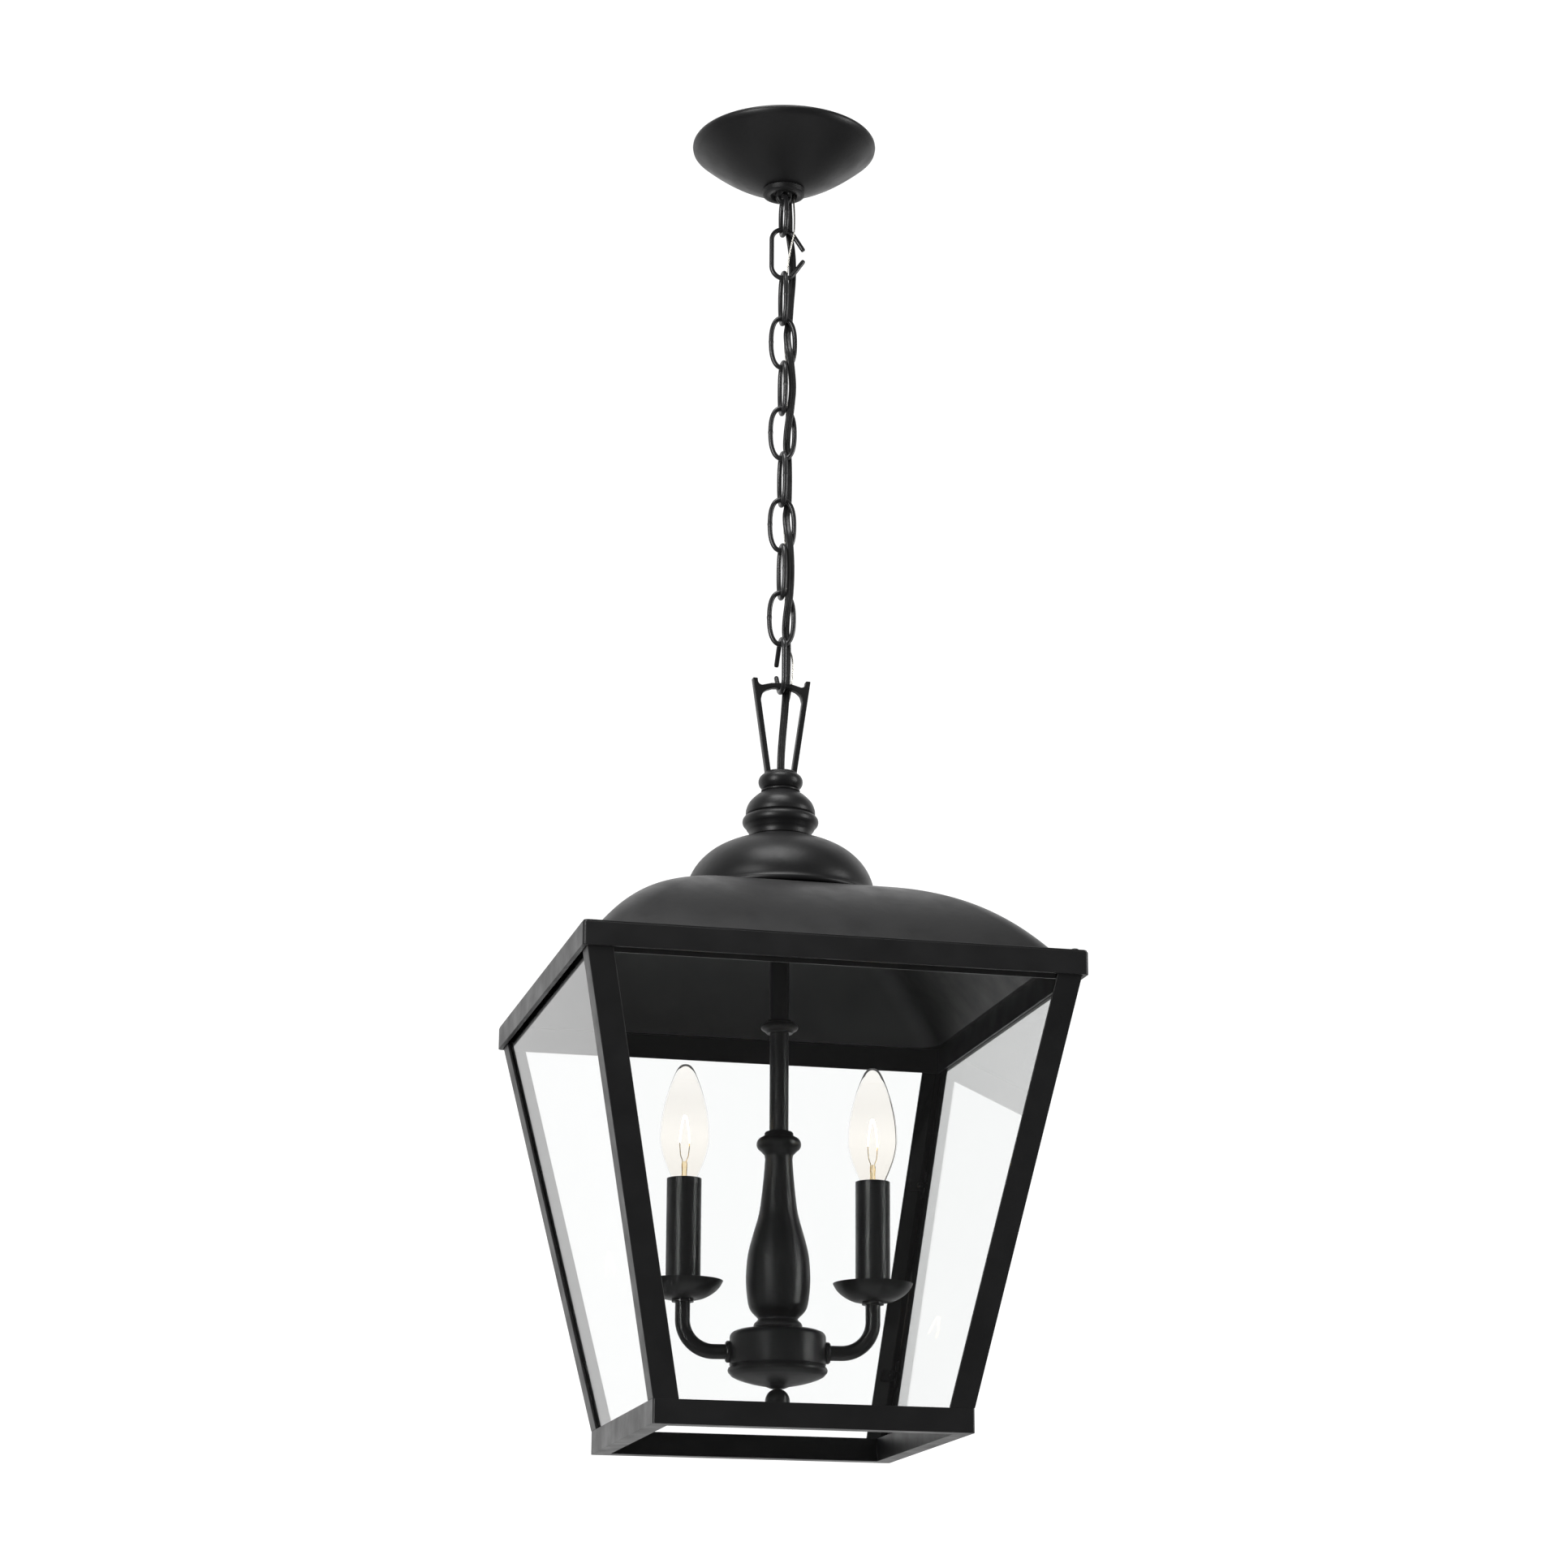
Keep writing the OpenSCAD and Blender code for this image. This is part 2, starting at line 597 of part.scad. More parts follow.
module vase_column() {
    bore = stem_d / 2 - 1.5;
    bulge = smooth([[8.8, -109.6], [9.5, -119.5], [10.8, -132.6], [12.6, -145.4],
        [16, -157.5], [19.2, -170], [20.4, -182], [20.3, -192], [18.9, -203], [16.7, -207.6],
        [13.4, -210.9], [12.6, -212.3]], 3);
    color(FINISH) lantern() turned(concat(
        [[bore, -92.1], [8.6, -92.1], [9.3, -93], [9.3, -94.6], [10.6, -95.2]],
        arc(9.6, -100.1, 4.75, 76, -62, 10),
        [[9.3, -107]], bulge, arc(12.2, -216.6, 3.3, 62, -40, 6),
        [[14.4, body_top], [bore, body_top]]));
}

module cluster_body() {
    wall = 2;
    color(FINISH) lantern() difference() {
        turned(concat([[5, body_top - 0.02], [body_r - 5, body_top - 0.02]],
            arc(body_r - 4, body_top - 4.6, 4, 75, 0, 5), [[body_r, body_foot],
            [body_r - wall, body_foot], [body_r - wall, body_top - 6], [body_r - 6, body_top - wall],
            [5, body_top - wall]]));
        for (s = [-1, 1]) side(s) translate([body_r - 6, 0, arm_z])
            rotate([0, 90, 0]) cylinder(r = arm_d / 2 + 0.05, h = 10);
    }
}

module cluster_cap() {
    color(FINISH) lantern() turned(concat(
        [[0, body_foot - 0.02], [body_r, body_foot - 0.02]],
        arc(29.2, -244.4, 2.4, 70, -50, 6),
        smooth([[29.2, -248], [25, -250], [17, -252.4], [8, -254.2]], 3),
        [[4.5, -255.6], [0, -255.6]]));
}

module ball_finial() {
    color(FINISH) lantern() translate([0, 0, -263.4]) sphere(r = 7.8);
}

// ---- Arms and candles, drawn on the +X side ----
module side(s) {
    rotate([0, 0, arm_turn]) mirror([s < 0 ? 1 : 0, 0, 0]) children();
}

module arm_path(r, more) {
    start = body_r - 5;
    bend_x = arm_reach - arm_bend;
    translate([start - more, 0, arm_z]) rotate([0, 90, 0])
        cylinder(r = r, h = bend_x - start + more);
    translate([bend_x, 0, arm_z + arm_bend]) rotate([90, 0, 0]) rotate([0, 0, -90])
        rotate_extrude(angle = 90) translate([arm_bend, 0]) circle(r = r);
    translate([arm_reach, 0, arm_z + arm_bend])
        cylinder(r = r, h = arm_top - arm_z - arm_bend + more);
}

module arm(s) {
    color(FINISH) lantern() side(s) difference() {
        arm_path(arm_d / 2, 0);
        arm_path(arm_d / 2 - arm_wall, 1);
    }
}

module arm_nuts() {
    color(FINISH) lantern() for (s = [-1, 1]) side(s)
        translate([body_r + 0.05, 0, arm_z]) rotate([0, 90, 0]) difference() {
            turned([[0, 0], [6.9, 0], [6.9, 1.6], [6.1, 2.6], [0, 2.6]]);
            translate([0, 0, -1]) cylinder(r = arm_d / 2 + 0.05, h = 6);
        }
}

module bobeche_washers() {
    color(FINISH) lantern() for (s = [-1, 1]) side(s)
        translate([arm_reach, 0, arm_top + 0.02]) difference() {
            cylinder(r = 7, h = washer_t - 0.04);
            translate([0, 0, -1]) cylinder(r = 3, h = washer_t + 2);
        }
}

module bobeche(s) {
    r = bobeche_d / 2;
    outside = smooth([[10.4, dish_z], [14.2, -199.1], [19.2, -196.3], [23.2, -192.6],
        [r, dish_rim]], 4);
    inside = smooth([[r - 0.8, dish_rim + 0.1], [22.3, -191.6], [18.2, -195.1], [14, -197.8],
        [11.7, sleeve_foot]], 4);
    color(FINISH) lantern() side(s) translate([arm_reach, 0, 0])
        turned(concat([[3, dish_z]], outside, inside, [[3, sleeve_foot]]));
}

module sleeve(s) {
    color(FINISH) lantern() side(s) translate([arm_reach, 0, sleeve_foot + 0.02]) difference() {
        cylinder(d = sleeve_d, h = sleeve_top - sleeve_foot);
        translate([0, 0, -1]) cylinder(d = sleeve_d - 2 * sleeve_wall, h = 90);
    }
}

module socket(s) {
    foot = sleeve_foot + 0.02;
    color([0.12, 0.1, 0.09]) lantern() side(s) translate([arm_reach, 0, 0]) difference() {
        union() {
            translate([0, 0, foot]) cylinder(r = 4.5, h = 38);
            translate([0, 0, socket_top - 32]) cylinder(r = socket_r, h = 32);
        }
        translate([0, 0, base_foot - 3]) cylinder(r = socket_bore, h = 40);
    }
}

BULB_OUTSIDE = [[0.6, -48], [3.4, -53], [8.2, -64], [13, -78.5], [15.5, -91], [15.6, -99],
    [14, -109], [11, -118.5], [8.5, -125.4], [6.9, -129.4], [6.1, -131.8], [6.05, base_top + 0.02]];

module bulb(s) {
    skin = 0.7;
    scale_r = bulb_d / 31.5;
    outside = smooth([for (p = BULB_OUTSIDE) [p[0] * scale_r, p[1]]], 3);
    inside = smooth([for (p = BULB_OUTSIDE)
        [max(p[0] * scale_r - skin, 0), p[1] - (p[1] > -60 ? skin + 0.4 : 0)]], 3);
    color(LIT) lantern() side(s) translate([arm_reach, 0, 0])
        turned(concat([[0, -47.8]], outside, reversed(inside), [[0, -49.2]]));
}

module filament(s) {
    color(BRASS) lantern() side(s) translate([arm_reach, 0, 0]) {
        translate([0, 0, base_top]) cylinder(r1 = 4.6, r2 = 1.6, h = 22, $fn = 48);
        for (turn = [0, 180]) rotate([0, 0, turn]) translate([2.6, 0, base_top + 24])
            cylinder(r = 0.35, h = 26, $fn = 16);
        translate([0, 0, base_top + 21.9]) cylinder(r = 3.4, h = 2.2, $fn = 48);
    }
}

module bulb_base(s) {
    color(BRASS) lantern() side(s) translate([arm_reach, 0, 0])
        turned([[0, base_foot - 2], [2, base_foot - 1.6], [2.6, base_foot], [base_r - 1, base_foot],
            [base_r, base_foot + 1.5], [base_r, base_top - 0.02], [0, base_top - 0.02]]);
}

mounting_strap();
strap_nipple();
strap_nuts();
collar_loop();
canopy();
collar_ring();
link_at(1);  // link_01
link_at(2);  // link_02
link_at(3);  // link_03
link_at(4);  // link_04
link_at(5);  // link_05
link_at(6);  // link_06
link_at(7);  // link_07
link_at(8);  // link_08
link_at(9);  // link_09
link_at(10);  // link_10
link_at(11);  // link_11
supply_cord();
ground_wire();
stirrup();
finial_collar();
cap_turning();
cap_dome();
roof_shell();
roof_screws();
top_band();
top_rail();
leg(-1, -1);  // leg_front_left
leg(1, -1);  // leg_front_right
leg(-1, 1);  // leg_back_left
leg(1, 1);  // leg_back_right
bottom_frame();
pane(0);  // pane_front
pane(180);  // pane_back
pane(-90);  // pane_left
pane(90);  // pane_right
glass_clips();
clip_screws();
stem_tube();
stem_ring();
vase_column();
cluster_body();
cluster_cap();
ball_finial();
arm(-1);  // arm_left
arm(1);  // arm_right
arm_nuts();
bobeche(-1);  // bobeche_left
bobeche(1);  // bobeche_right
bobeche_washers();
sleeve(-1);  // sleeve_left
sleeve(1);  // sleeve_right
socket(-1);  // socket_left
socket(1);  // socket_right
bulb(-1);  // bulb_left
bulb(1);  // bulb_right
filament(-1);  // filament_left
filament(1);  // filament_right
bulb_base(-1);  // bulb_base_left
bulb_base(1);  // bulb_base_right
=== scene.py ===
import json
import math
import bmesh
import bpy
from mathutils import Matrix, Vector


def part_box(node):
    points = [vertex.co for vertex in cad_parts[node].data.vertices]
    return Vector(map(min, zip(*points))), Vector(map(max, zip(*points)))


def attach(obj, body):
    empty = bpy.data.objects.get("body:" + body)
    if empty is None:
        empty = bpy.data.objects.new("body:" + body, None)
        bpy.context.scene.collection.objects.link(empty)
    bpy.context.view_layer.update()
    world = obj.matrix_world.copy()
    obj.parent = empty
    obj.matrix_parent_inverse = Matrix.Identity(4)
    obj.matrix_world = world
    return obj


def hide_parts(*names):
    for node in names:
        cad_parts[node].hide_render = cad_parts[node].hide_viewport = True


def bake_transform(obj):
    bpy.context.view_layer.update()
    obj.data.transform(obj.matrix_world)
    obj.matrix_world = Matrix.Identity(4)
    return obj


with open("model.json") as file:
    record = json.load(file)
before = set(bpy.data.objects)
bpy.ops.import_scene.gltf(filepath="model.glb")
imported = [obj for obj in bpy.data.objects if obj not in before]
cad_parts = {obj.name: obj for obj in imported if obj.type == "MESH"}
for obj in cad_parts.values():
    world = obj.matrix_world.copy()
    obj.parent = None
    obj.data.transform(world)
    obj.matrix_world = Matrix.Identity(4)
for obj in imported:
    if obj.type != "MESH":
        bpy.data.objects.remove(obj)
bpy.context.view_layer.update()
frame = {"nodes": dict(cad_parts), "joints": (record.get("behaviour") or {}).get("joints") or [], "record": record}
NODES = frame["nodes"]
BODY_OF = {n: body for body, names in frame["record"]["behaviour"]["bodies"].items() for n in names}
SLOT_OF = {s["node"]: s["material_slot"] for s in frame["record"]["subparts"]}
MM = 0.001
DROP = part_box("top_band")[1][2]
SCENE = bpy.context.scene


# ---------------------------------------------------------------- camera
# In front of the lantern and a little to its left, looking up. Angles in radians.
YAW, PITCH, ROLL = 0.2352, 0.2821, 0.0052
CAMERA_AT = (-0.5265, -2.2068, -1.1206)
LENS, SENSOR = 82.08, 36
FORWARD = Vector((math.sin(YAW) * math.cos(PITCH), math.cos(YAW) * math.cos(PITCH),
                  math.sin(PITCH)))
RIGHT = Vector((math.cos(YAW), -math.sin(YAW), 0))
UP = RIGHT.cross(FORWARD)
RIGHT_R = RIGHT * math.cos(ROLL) + UP * math.sin(ROLL)
UP_R = UP * math.cos(ROLL) - RIGHT * math.sin(ROLL)
cam_data = bpy.data.cameras.new("camera")
cam_data.sensor_width = SENSOR
cam_data.lens = LENS
cam_data.clip_start = 0.1
cam_data.clip_end = 60
cam = bpy.data.objects.new("camera", cam_data)
SCENE.collection.objects.link(cam)
turn = Matrix((RIGHT_R, UP_R, -FORWARD)).transposed().to_4x4()
cam.matrix_world = Matrix.Translation(CAMERA_AT) @ turn
SCENE.camera = cam
SCENE.view_settings.view_transform = "Standard"


# ---------------------------------------------------------------- mesh helpers
def add(name, verts, faces, smooth=True, sharp=35):
    """A new mesh object, with edges sharper than sharp degrees left crisp."""
    me = bpy.data.meshes.new(name)
    me.from_pydata([tuple(v) for v in verts], [], faces)
    me.validate()
    me.update()
    if smooth:
        me.polygons.foreach_set("use_smooth", [True] * len(me.polygons))
        me.set_sharp_from_angle(angle=math.radians(sharp))
    ob = bpy.data.objects.new(name, me)
    SCENE.collection.objects.link(ob)
    return ob


def grid(rings, closed=True, loop=False, cap=True):
    """Vertices and quads through rings of equal length."""
    n = len(rings[0])
    verts = [v for ring in rings for v in ring]
    faces = []
    for i in range(len(rings) if loop else len(rings) - 1):
        k = (i + 1) % len(rings)
        for j in range(n if closed else n - 1):
            m = (j + 1) % n
            faces.append((i * n + j, i * n + m, k * n + m, k * n + j))
    if cap and not loop:
        faces.append(tuple(range(n - 1, -1, -1)))
        faces.append(tuple((len(rings) - 1) * n + j for j in range(n)))
    return verts, faces


def joined(*parts):
    """Several parts, each of vertices and faces, as one."""
    verts, faces = [], []
    for v, f in parts:
        base = len(verts)
        verts += list(v)
        faces += [tuple(base + i for i in face) for face in f]
    return verts, faces


def lathe(profile, segs=96):
    """Closed outline of radius and height in millimetres, turned about Z. Radius 0 makes a pole."""
    verts, faces, rows = [], [], []
    for r, z in profile:
        if r < 1e-6:
            rows.append([len(verts)])
            verts.append(Vector((0, 0, z * MM)))
        else:
            rows.append(list(range(len(verts), len(verts) + segs)))
            for j in range(segs):
                a = 2 * math.pi * j / segs
                verts.append(Vector((r * math.cos(a) * MM, r * math.sin(a) * MM, z * MM)))
    for a, b in zip(rows, rows[1:]):
        for j in range(segs):
            k = (j + 1) % segs
            if len(a) == 1 and len(b) == 1:
                break
            if len(a) == 1:
                faces.append((a[0], b[k], b[j]))
            elif len(b) == 1:
                faces.append((a[j], a[k], b[0]))
            else:
                faces.append((a[j], a[k], b[k], b[j]))
    return verts, faces


def smooth_line(points, n):
    """Points on a smooth curve through the given ones (Catmull-Rom), n to a span."""
    out = []
    last = len(points) - 1
    for i in range(last):
        a, b, c, d = (points[max(i - 1, 0)], points[i], points[i + 1], points[min(i + 2, last)])
        for j in range(n):
            t = j / n
            out.append([0.5 * (2 * q + (r - p) * t + (2 * p - 5 * q + 4 * r - s) * t * t
                               + (3 * q - p - 3 * r + s) * t ** 3)
                        for p, q, r, s in zip(a, b, c, d)])
    out.append(list(points[last]))
    return out


def arc(cx, cy, r, start, stop, n):
    """Points on a circle from start to stop degrees."""
    return [[cx + r * math.cos(math.radians(start + (stop - start) * i / n)),
             cy + r * math.sin(math.radians(start + (stop - start) * i / n))] for i in range(n + 1)]


# ---------------------------------------------------------------- lead and ground wire
# x, y, z and the turn of the flat, in millimetres and degrees, as in the CAD model
LEAD = [
    [4.8, 5.8, -31, -40], [4.8, 5.8, -42, -40], [4.9, 4.8, -54, -15], [4.9, 3.5, -65, 0],
    [7.0, 3.5, -82, 0], [7.2, 3.5, -99, 0], [6.0, 3.5, -116, 0], [4.9, 3.4, -132, 0],
    [3.7, 3.1, -140, 0], [3.3, 0, -148.5, 0], [3.7, -3.1, -157, 0], [4.8, -3.4, -165.5, 0],
    [6.0, -3.6, -182, 0], [4.8, -3.4, -198, 0], [3.7, -3.1, -206.5, 0], [3.3, 0, -215, 0],
    [3.7, 3.1, -223.5, 0], [4.8, 3.4, -232, 0], [5.2, 3.6, -248, 0], [4.8, 3.4, -264.5, 0],
    [3.7, 3.1, -273, 0], [3.3, 0, -281.5, 0], [3.7, -3.1, -290, 0], [4.8, -3.4, -298.5, 0],
    [5.4, -3.6, -315, 0], [4.8, -3.4, -331, 0], [3.7, -3.1, -339.5, 0], [3.3, 0, -348, 0],
    [3.7, 3.1, -356.5, 0], [4.8, 3.4, -365, 0], [4.9, 4.0, -380, 0], [4.7, 4.6, -392, 0],
    [4.2, 4.4, -402, 0], [3.0, 2.9, -415, 0], [1.4, 1.2, -430, 0], [0.3, 0.2, -444, 0],
    [0, 0, -459, 0],
]
GROUND = [
    [7.3, 1.6, -31, 0], [7.5, 1.4, -42, 0], [7.4, -1.2, -53, 0], [7.0, -2.7, -62, 0],
    [6.6, -2.7, -68, 0], [5.2, -1.0, -76, 0], [3.8, 0.8, -86, 0], [3.2, 2.8, -98, 0],
    [2.5, 3.2, -111, 0], [2.6, 5.6, -123, 0], [3.0, 5.9, -134, 0], [2.8, 5.4, -141, 0],
    [2.2, 3.8, -150, 0], [3.2, 2.6, -165, 0], [3.4, 2.5, -182, 0], [3.4, 2.6, -198, 0],
    [3.2, 4.2, -211, 0], [3.4, 5.7, -223, 0], [4.6, 5.9, -248, 0], [3.6, 5.7, -266, 0],
    [3.0, 5.5, -273, 0], [2.4, 3.8, -283, 0], [3.2, 2.6, -299, 0], [3.4, 2.5, -315, 0],
    [3.4, 2.6, -331, 0], [3.2, 4.2, -344, 0], [4.2, 5.8, -358, 0], [6.6, 6.0, -366, 0],
    [8.8, 5.0, -374, 0], [8.9, 4.8, -386, 0], [7.4, 6.2, -400, 0], [5.4, 6.0, -408, 0],
    [3.2, 5.3, -416, 0], [1.0, 3.6, -431, 0], [0.2, 2.5, -445, 0], [0, 2.3, -459, 0],
]


def circle_points(cx, r, angles):
    return [[cx + r * math.cos(math.radians(a)), r * math.sin(math.radians(a))] for a in angles]


# The lead's section is two round lobes with a waist between them
LOBE_R, WAIST_R, GROUND_R = 1.3, 0.8, 0.6
LEAD_SECTION = (circle_points(LOBE_R, LOBE_R, range(-120, 121, 24)) + [[0, WAIST_R]]
                + circle_points(-LOBE_R, LOBE_R, range(60, 301, 24)) + [[0, -WAIST_R]])
GROUND_SECTION = circle_points(0, GROUND_R, range(0, 360, 30))

# Both are cut just above each pivot of the chain
CUT_ABOVE, BEND_ABOVE, BEND_BELOW, RING_STEP = 4.5, 4.4, 8, 1.4
LINKS = 11
BODIES = ["ceiling"] + ["link_%02d" % k for k in range(1, LINKS + 1)] + ["lantern"]
PIVOTS = {j["child"]: j["pos_m"][2] / MM for j in frame["joints"]
          if j["type"] == "hinge" and j["child"] in BODIES}


def swept(route, section, z_from, z_to):
    """Rings of the section along the route between two heights, and the middle line."""
    dense = smooth_line(route, 10)

    def at(z):
        for a, b in zip(dense, dense[1:]):
            if b[2] <= z <= a[2]:
                t = (a[2] - z) / (a[2] - b[2])
                return [p + (q - p) * t for p, q in zip(a, b)]
        return dense[0] if z > dense[0][2] else dense[-1]

    count = max(int(round((z_from - z_to) / RING_STEP)), 4)
    rings, line = [], []
    for i in range(count + 1):
        z = z_from + (z_to - z_from) * i / count
        x, y, z, angle = at(z)
        ahead, behind = at(z - 1.5), at(z + 1.5)
        t = Vector([ahead[k] - behind[k] for k in range(3)]).normalized()
        a = math.radians(angle)
        across = Vector((math.sin(a), -math.cos(a), 0)).cross(t).normalized()
        through = t.cross(across)
        centre = Vector((x, y, z))
        line.append(centre * MM)
        rings.append([(centre + across * p + through * q) * MM for p, q in section])
    return rings, line


def lay_lead(name, node, route, section):
    """The cord of a CAD node as a row of pieces, which are returned."""
    made = []
    last = LINKS + 1
    for k in range(1, last + 1):
        above, below = BODIES[k - 1], BODIES[k]
        pivot = PIVOTS[below]
        top = route[0][2] if k == 1 else pivot + CUT_ABOVE
        bottom = route[-1][2] if k == last else PIVOTS[BODIES[k + 1]] + CUT_ABOVE
        rings, line = swept(route, section, top, bottom)
        piece = add("%s_%02d" % (name, k), *grid(rings), sharp=60)
        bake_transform(piece)
        made.append(piece)
    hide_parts(node)
    return made


lead_pieces = lay_lead("lead", "supply_cord", LEAD, LEAD_SECTION)
ground_pieces = lay_lead("ground", "ground_wire", GROUND, GROUND_SECTION)


# ---------------------------------------------------------------- materials
def new_material(name):
    m = bpy.data.materials.new(name)
    m.use_nodes = True
    tree = m.node_tree
    return m, tree, tree.nodes["Principled BSDF"]


def shader(material):
    return material.node_tree.nodes["Principled BSDF"]


def coordinates(tree, scale):
    where = tree.nodes.new("ShaderNodeTexCoord")
    mapping = tree.nodes.new("ShaderNodeMapping")
    mapping.inputs["Scale"].default_value = scale if isinstance(scale, tuple) else (scale,) * 3
    tree.links.new(where.outputs["Object"], mapping.inputs["Vector"])
    return mapping.outputs["Vector"]


def noise(tree, scale, detail=2.0, rough=0.5, stretch=(1, 1, 1)):
    n = tree.nodes.new("ShaderNodeTexNoise")
    n.inputs["Scale"].default_value = scale
    n.inputs["Detail"].default_value = detail
    n.inputs["Roughness"].default_value = rough
    tree.links.new(coordinates(tree, stretch), n.inputs["Vector"])
    return n.outputs["Fac"]


def ramp(tree, value, low, high, a, b):
    """value from low to high becomes colour or number a to b."""
    r = tree.nodes.new("ShaderNodeValToRGB")
    r.color_ramp.elements[0].position = low
    r.color_ramp.elements[1].position = high
    full = [c if isinstance(c, tuple) else (c, c, c) for c in (a, b)]
    for e, c in zip(r.color_ramp.elements, full):
        e.color = (*c, 1)
    tree.links.new(value, r.inputs["Fac"])
    return r.outputs["Color"]


def bump(tree, height, strength, distance, onto=None):
    b = tree.nodes.new("ShaderNodeBump")
    b.inputs["Strength"].default_value = strength
    b.inputs["Distance"].default_value = distance
    tree.links.new(height, b.inputs["Height"])
    if onto is not None:
        tree.links.new(onto, b.inputs["Normal"])
    return b.outputs["Normal"]


def mottled(tree, scale, detail, a, b, rough=0.5, stretch=(1, 1, 1)):
    """Colour or number that wanders between a and b."""
    return ramp(tree, noise(tree, scale, detail, rough, stretch), 0.3, 0.7, a, b)


def map_range(tree, value, low, high, a=0.0, b=1.0, smooth=False):
    """value from low to high becomes a to b."""
    n = tree.nodes.new("ShaderNodeMapRange")
    if smooth:
        n.interpolation_type = "SMOOTHSTEP"
    for socket, number in (("From Min", low), ("From Max", high), ("To Min", a), ("To Max", b)):
        n.inputs[socket].default_value = number
    tree.links.new(value, n.inputs["Value"])
    return n.outputs["Result"]


def powder_coat(name, dark=0.007, light=0.012, rough=(0.34, 0.46), grain=0.3):
    """Black, with the broad ripple and the fine grain of a baked powder."""
    m, tree, p = new_material(name)
    tree.links.new(mottled(tree, 18, 4, (dark, dark, dark * 1.04), (light, light, light * 1.04)),
                   p.inputs["Base Color"])
    tree.links.new(mottled(tree, 55, 3, *rough), p.inputs["Roughness"])
    p.inputs["Specular IOR Level"].default_value = 0.42
    peel = bump(tree, noise(tree, 260, 2), 0.12, 0.0004)
    fine = bump(tree, noise(tree, 1500, 2, 0.6), grain, 0.00012, peel)
    tree.links.new(fine, p.inputs["Normal"])
    return m


def metal(name, dark, light, rough, scratch=0.1, stretch=(1, 1, 1)):
    m, tree, p = new_material(name)
    p.inputs["Metallic"].default_value = 1.0
    tree.links.new(mottled(tree, 90, 4, dark, light, 0.6, stretch), p.inputs["Base Color"])
    tree.links.new(mottled(tree, 400, 3, *rough, 0.6, stretch), p.inputs["Roughness"])
    tree.links.new(bump(tree, noise(tree, 900, 3, 0.6, stretch), scratch, 0.00008),
                   p.inputs["Normal"])
    return m


def plastic(name, dark, light, rough, grain=0.12):
    m, tree, p = new_material(name)
    tree.links.new(mottled(tree, 120, 3, dark, light), p.inputs["Base Color"])
    tree.links.new(mottled(tree, 300, 3, *rough), p.inputs["Roughness"])
    tree.links.new(bump(tree, noise(tree, 1200, 2), grain, 0.00006), p.inputs["Normal"])
    return m


def glass(name, tint, ior, wave=0.0, wave_scale=10.0):
    m, tree, p = new_material(name)
    p.inputs["Base Color"].default_value = (*tint, 1)
    p.inputs["Roughness"].default_value = 0.0
    p.inputs["IOR"].default_value = ior
    p.inputs["Transmission Weight"].default_value = 1.0
    if wave:
        tree.links.new(bump(tree, noise(tree, wave_scale, 1), wave, 0.0005), p.inputs["Normal"])
    return m


BLACK = powder_coat("black_powder_coat")
CAST = powder_coat("black_casting", 0.006, 0.011, (0.32, 0.44), 0.36)
WIRE_BLACK = powder_coat("black_wire", 0.01, 0.018, (0.26, 0.36), 0.15)
shader(WIRE_BLACK).inputs["Specular IOR Level"].default_value = 0.8
ZINC = metal("zinc_plate", (0.5, 0.5, 0.49), (0.68, 0.68, 0.66), (0.28, 0.42))
TINNED = metal("tinned_wire", (0.62, 0.6, 0.55), (0.8, 0.78, 0.72), (0.2, 0.35), 0.15, (1, 1, 0.2))
BRASS = metal("brass", (0.66, 0.5, 0.24), (0.8, 0.64, 0.34), (0.22, 0.36))
LEAD_SKIN = plastic("lead_skin", (0.012, 0.012, 0.012), (0.022, 0.022, 0.022), (0.28, 0.38))
PHENOLIC = plastic("socket_phenolic", (0.02, 0.017, 0.015), (0.035, 0.03, 0.026), (0.4, 0.55))
PANE = glass("pane_glass", (0.992, 0.998, 0.996), 1.48, 0.012, 9)
BULB = glass("bulb_glass", (0.935, 0.92, 0.9), 1.02, 0.03, 60)

# Painted glow: the bulb's glass emits colour that stands in for the filament's light caught in the glass, colours
# from the base to the tip
BULB_PAINTED_GLOW = ((0.0, (0.30, 0.22, 0.12)), (0.22, (0.5, 0.42, 0.3)), (0.45, (1.0, 0.94, 0.82)),
              (0.7, (0.45, 0.42, 0.38)), (1.0, (0.3, 0.29, 0.28)))
tree = BULB.node_tree
bulb_lo, bulb_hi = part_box("bulb_left")
place = tree.nodes.new("ShaderNodeSeparateXYZ")
tree.links.new(coordinates(tree, 1), place.inputs["Vector"])
painted_glow = tree.nodes.new("ShaderNodeValToRGB")
for height, colour in BULB_PAINTED_GLOW:
    e = painted_glow.color_ramp.elements.new(height)
    e.color = (*colour, 1)
painted_glow.color_ramp.elements.remove(painted_glow.color_ramp.elements[-1])
tree.links.new(map_range(tree, place.outputs["Z"], bulb_lo[2], bulb_hi[2]), painted_glow.inputs["Fac"])
# Painted glow: the height ramp drives the emission colour of the bulb's glass
tree.links.new(painted_glow.outputs["Color"], shader(BULB).inputs["Emission Color"])
# Strength of the painted glow on the bulb's glass
shader(BULB).inputs["Emission Strength"].default_value = 0.045
STEM_GLASS = glass("stem_glass", (1.0, 0.86, 0.6), 1.45, 0.05, 300)
GLOW = plastic("hot_filament", (1.0, 0.8, 0.45), (1.0, 0.86, 0.55), (0.5, 0.6))
shader(GLOW).inputs["Emission Color"].default_value = (1, 0.78, 0.45, 1)
shader(GLOW).inputs["Emission Strength"].default_value = 25


def paint(ob, material):
    """One material in every slot of the object."""
    for slot in ob.material_slots:
        slot.material = material
    if not ob.material_slots:
        ob.data.materials.append(material)
    return ob


for piece in lead_pieces:
    paint(piece, LEAD_SKIN)
for piece in ground_pieces:
    paint(piece, TINNED)

